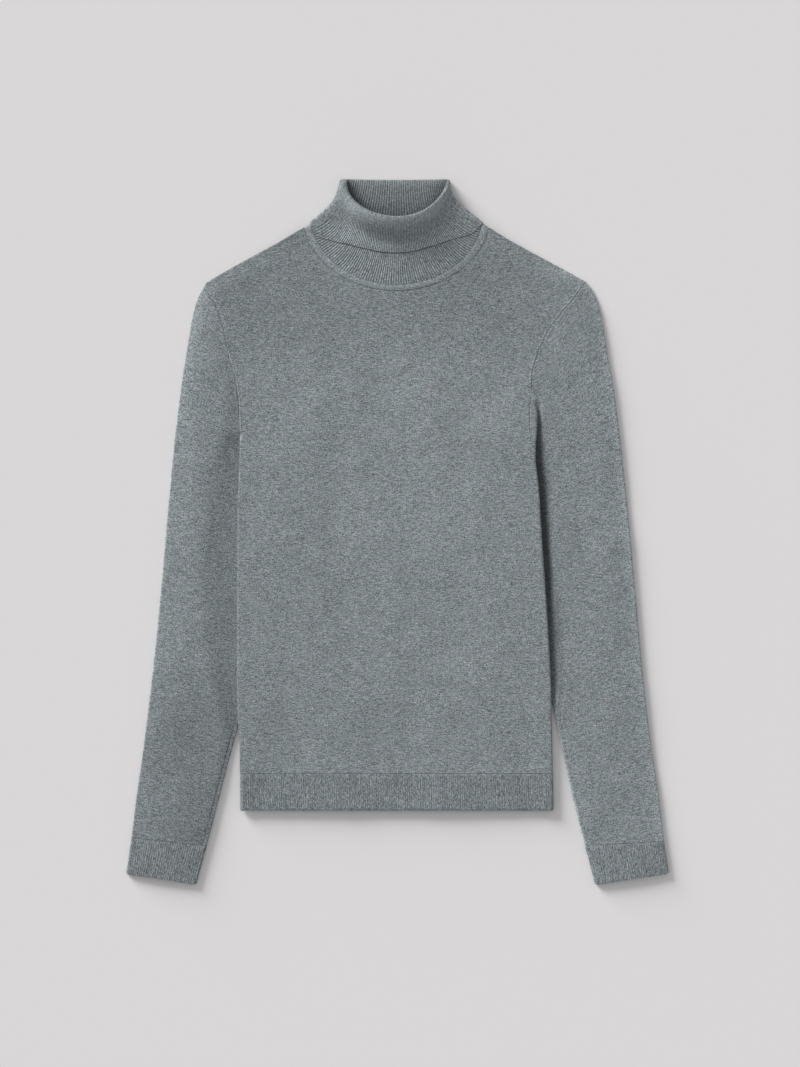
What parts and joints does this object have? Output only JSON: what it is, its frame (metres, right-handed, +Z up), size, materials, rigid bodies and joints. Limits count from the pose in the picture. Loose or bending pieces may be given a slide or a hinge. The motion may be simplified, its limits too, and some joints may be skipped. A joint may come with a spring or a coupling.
{
  "type": "turtleneck sweater",
  "caption": "Fine-gauge knitted turtleneck sweater laid flat on its back, sides folded under, with ribbed collar, cuffs and hem.",
  "frame": {"origin": "on the surface that the sweater lies on, in the middle of its laid outline", "axes": "+X towards the wearer's left, +Y from the hem to the collar, +Z up from the surface through the front"},
  "size_m": [0.6405, 0.8331, 0.0296],
  "materials": {
    "grey_melange_jersey": "fine melange jersey knit, matt",
    "grey_melange_rib": "fine melange rib knit, matt"
  },
  "bodies": {
    "root": {"body_front": "grey_melange_jersey", "body_back": "grey_melange_jersey", "sleeve_right": "grey_melange_jersey", "sleeve_left": "grey_melange_jersey", "hem_front": "grey_melange_rib", "hem_back": "grey_melange_rib", "cuff_right": "grey_melange_rib", "cuff_left": "grey_melange_rib", "collar": "grey_melange_rib", "neck_band": "grey_melange_rib"}
  },
  "joints": []
}
